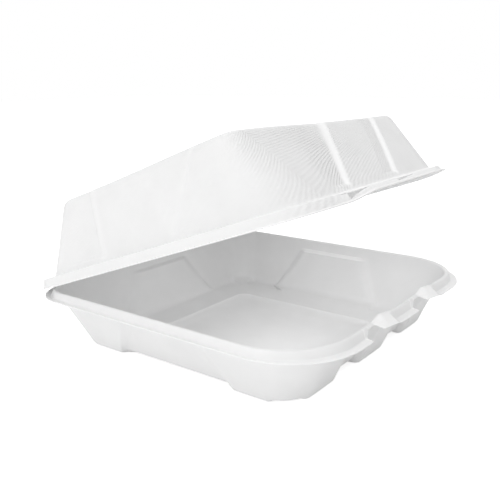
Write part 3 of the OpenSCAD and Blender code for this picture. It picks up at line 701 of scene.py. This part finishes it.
def screen_print_group():
    """The print of the mould's wire screen: leaning wires and finer cross wires, stronger in patches."""
    tree, g, given, out = group("screen_print", {
        "Wire Pitch": WIRE_PITCH * MM, "Cross Pitch": CROSS_PITCH * MM, "Cross Strength": 0.3,
        "Wander": 0.0012}, ["Height"])
    uv = g.add("ShaderNodeUVMap", uv_map="mould").outputs["UV"]
    split = g.add("ShaderNodeSeparateXYZ", {0: uv}).outputs
    place = g.add("ShaderNodeTexCoord").outputs["Object"]
    shift = g.math("MULTIPLY", g.noise(place, 60.0, 1.0), given["Wander"])

    def wave(way, pitch):
        return g.math("SINE", g.math("MULTIPLY", g.math("DIVIDE", way, pitch), 2 * math.pi))

    wires = wave(g.math("ADD", split["X"], shift), given["Wire Pitch"])
    cross_wires = wave(split["Y"], given["Cross Pitch"])
    weave = g.math("ADD", wires, g.math("MULTIPLY", cross_wires, given["Cross Strength"]))
    patches = g.add("ShaderNodeMapRange", {"Value": g.noise(place, 18.0, 2.0), "From Min": 0.35,
                                           "From Max": 0.65, "To Min": 0.35, "To Max": 1.0}).outputs[0]
    strength = g.math("MULTIPLY", patches, g.attribute("printed"))
    g.links.new(g.math("MULTIPLY", weave, strength), out["Height"])
    return tree


def grey(level):
    return (level, level, level, 1)


def pulp_material(name, level, screen_depth, fibre_depth):
    """Bleached pressed pulp. The outside also takes the screen's print."""
    material = bpy.data.materials.new(name)
    material.use_nodes = True
    material.node_tree.nodes.clear()
    g = Graph(material.node_tree)
    fibres = g.add("ShaderNodeGroup", node_tree=PULP_FIBRES).outputs
    clouded = g.add("ShaderNodeValToRGB", {0: fibres["Cloud"]})
    thin, thick = clouded.color_ramp.elements
    thin.position, thick.position = 0.3, 0.7
    thin.color, thick.color = grey(level * THIN_SHADE), grey(level)
    # The base colour is mixed toward white where the painted highlight mask is set
    highlighted = g.add("ShaderNodeMix", {6: clouded.outputs[0], 7: grey(min(WHITEST, level * HIGHLIGHT_TINT))},
                      data_type="RGBA")
    g.links.new(g.add("ShaderNodeGroup", node_tree=PAINTED_HIGHLIGHT).outputs["Mask"], highlighted.inputs[0])
    normal = g.add("ShaderNodeBump", {"Height": fibres["Height"], "Distance": fibre_depth,
                                      "Strength": 1.0}).outputs[0]
    if screen_depth:
        screen = g.add("ShaderNodeGroup", node_tree=SCREEN_PRINT).outputs["Height"]
        normal = g.add("ShaderNodeBump", {"Height": screen, "Distance": screen_depth,
                                          "Strength": 1.0, "Normal": normal}).outputs[0]
    shader = g.add("ShaderNodeBsdfPrincipled", {
        "Base Color": highlighted.outputs[2], "Roughness": 0.8, "Specular IOR Level": 0.35,
        "Sheen Weight": 0.15, "Sheen Roughness": 0.6, "Normal": normal})
    g.add("ShaderNodeOutputMaterial", {"Surface": shader.outputs[0]})
    return material


def fold_web():
    """The crease: a narrow bent strip that joins the two lips' rear edges."""
    half = STRAIGHT_X + WEB_CORNER_RUN
    tray_end = np.array([HALF_D - WEB_LAP, TRAY_LIP_H - WALL / 2])
    lid_end = opened(np.array([0, HALF_D - WEB_LAP, PARTING_H + (FOLD_GAP + WALL) / 2]))[1:]
    bulge = np.array([WEB_BULGE, 0.0])
    path = [(1 - t) * tray_end + t * lid_end + 4 * t * (1 - t) * bulge
            for t in np.linspace(0, 1, WEB_STEPS + 1)]
    rear, front = [], []
    for k, point in enumerate(path):
        before, after = path[max(k - 1, 0)], path[min(k + 1, WEB_STEPS)]
        way = (after - before) / np.linalg.norm(after - before)
        side = np.array([way[1], -way[0]]) * WALL * WEB_SHARE
        rear.append(point + side)
        front.append(point - side)
    section = rear + front[::-1]
    verts = [(x, y, z) for x in np.linspace(-half, half, WEB_STATIONS) for y, z in section]
    m = len(section)
    faces = [(i * m + k, i * m + (k + 1) % m, (i + 1) * m + (k + 1) % m, (i + 1) * m + k)
             for i in range(WEB_STATIONS - 1) for k in range(m)]
    faces += [range(m)[::-1], range(len(verts) - m, len(verts))]
    mesh = bpy.data.meshes.new("fold_web")
    mesh.from_pydata((np.array(verts) * MM).tolist(), [], [list(face) for face in faces])
    mesh.materials.append(smooth_side)
    mesh.shade_smooth()
    mesh.set_sharp_from_angle(angle=SHARP_ANGLE)
    piece = placed("fold_web", mesh)
    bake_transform(piece)


def pale_stage():
    """A plain pale floor that glows a little, and more so as the camera sees it."""
    mesh = bpy.data.meshes.new("floor")
    corners = [(-FLOOR_HALF, -FLOOR_HALF, 0), (FLOOR_HALF, -FLOOR_HALF, 0),
               (FLOOR_HALF, FLOOR_HALF, 0), (-FLOOR_HALF, FLOOR_HALF, 0)]
    mesh.from_pydata(corners, [], [(0, 1, 2, 3)])
    floor = placed("floor", mesh)
    pale = bpy.data.materials.new("pale_floor")
    pale.use_nodes = True
    g = Graph(pale.node_tree)
    surface = pale.node_tree.nodes["Principled BSDF"].inputs
    surface["Base Color"].default_value = grey(0.9)
    surface["Roughness"].default_value = 0.95
    surface["Specular IOR Level"].default_value = 0.1
    surface["Emission Color"].default_value = grey(1)
    seen = g.add("ShaderNodeLightPath").outputs["Is Camera Ray"]
    glow = g.math("ADD", g.math("MULTIPLY", seen, FLOOR_SEEN), FLOOR_GLOW)
    g.links.new(glow, surface["Emission Strength"])
    mesh.materials.append(pale)


def soft_room():
    """A white room that is brightest overhead."""
    world = bpy.data.worlds.new("soft_room")
    bpy.context.scene.world = world
    world.use_nodes = True
    g = Graph(world.node_tree)
    ray = g.add("ShaderNodeTexCoord").outputs["Generated"]
    height = g.add("ShaderNodeSeparateXYZ", {0: ray}).outputs["Z"]
    glow = g.math("MAXIMUM", g.math("MULTIPLY", height, SKY_STRENGTH), 0.0)
    seen = g.add("ShaderNodeLightPath").outputs["Is Camera Ray"]
    strength = g.add("ShaderNodeMix", {"Factor": seen, "A": glow, "B": 1.0}).outputs["Result"]
    room = world.node_tree.nodes["Background"].inputs
    room["Color"].default_value = grey(1)
    g.links.new(strength, room["Strength"])


def area_light(name, place, aim, size, power):
    data = bpy.data.lights.new(name, "AREA")
    data.shape, data.size, data.energy = "DISK", size, power
    lamp = placed(name, data)
    lamp.location = place
    lamp.rotation_mode = "QUATERNION"
    lamp.rotation_quaternion = (Vector(aim) - Vector(place)).to_track_quat("-Z", "Y")
    lamp.visible_camera = False


def photo_camera():
    """The camera of the photograph, as it was fitted to the part's lips, crests and feet."""
    yaw, pitch, roll = (math.radians(angle) for angle in CAMERA_TURN)
    ahead = Vector((math.sin(yaw) * math.cos(pitch), math.cos(yaw) * math.cos(pitch), -math.sin(pitch)))
    level = Vector((math.cos(yaw), -math.sin(yaw), 0))
    upright = level.cross(ahead)
    right = math.cos(roll) * level + math.sin(roll) * upright
    up = math.cos(roll) * upright - math.sin(roll) * level
    data = bpy.data.cameras.new("camera")
    data.sensor_width = SENSOR_W
    data.lens = FOCAL_PX * SENSOR_W / PHOTO_PX
    camera = placed("camera", data)
    turned = Matrix((right, up, -ahead)).transposed().to_4x4()
    camera.matrix_world = Matrix.Translation(Vector(CAMERA_PLACE) * MM) @ turned
    bpy.context.scene.camera = camera


def tray_shell():
    turn, lines = tray_lines()
    upper, lower, places = two_faces(turn, lines)
    wall_row = places["foot_outside"][0]
    # The painted highlight of each line, spread over the tray's rows
    painted_highlight = spread_painted_highlight(lines, places, upper.shape[:2], ("bead", "panel_top"), ("bead", "ledge"))
    closed = np.zeros(upper.shape[:2], bool)
    tray = pressed_shell("tray_shell", upper, lower, closed, laid_flat(upper, wall_row, upright_wires),
                         shell_masks(painted_highlight, TRAY_PRINT, wall_row), (smooth_side, screen_side))
    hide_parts("base_tray")
    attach(tray, "tray")


def lid_shell():
    turn, lines, open_after, printed = lid_lines()
    upper, lower, places = two_faces(turn, lines)
    wall_row = places["wall_top"][0]
    # The painted highlight of each line, spread over the lid's rows
    painted_highlight = spread_painted_highlight(lines, places, upper.shape[:2])
    slot_cells = np.zeros(upper.shape[:2], bool)
    slot_cells[places["skirt_top"][1]:places["slot_edge"][0]] = open_after
    upper, lower = opened(upper), opened(lower)
    lid = pressed_shell("lid_shell", upper, lower, slot_cells, laid_flat(upper, wall_row, leaning_wires),
                        shell_masks(painted_highlight, printed, wall_row), (screen_side, smooth_side))
    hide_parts("hinged_lid")
    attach(lid, "lid")


PULP_FIBRES, SCREEN_PRINT, PAINTED_HIGHLIGHT = pulp_fibre_group(), screen_print_group(), painted_highlight_group()
# Painted light: the smooth side is a paler copy of the pulp, which brightens the insides of the tray and the
# lid
screen_side = pulp_material("pulp_screen_side", 0.86, screen_depth=0.12 * MM, fibre_depth=0.12 * MM)
smooth_side = pulp_material("pulp_smooth_side", 0.88, screen_depth=0, fibre_depth=0.10 * MM)

tray_shell()
lid_shell()
fold_web()

# A low light from the left, and a small one inside the tray that stays clear of the lid when it is shut
pale_stage()
soft_room()
area_light("key_left", place=(-1.5, -0.2, 0.40), aim=(0, 0, 0.05), size=0.7, power=5.4)
area_light("fill_inside", place=(-0.045, -0.055, 0.058), aim=(0.05, 0.07, 0.056), size=0.036, power=0.031)
photo_camera()
bpy.context.scene.view_settings.view_transform = "Standard"
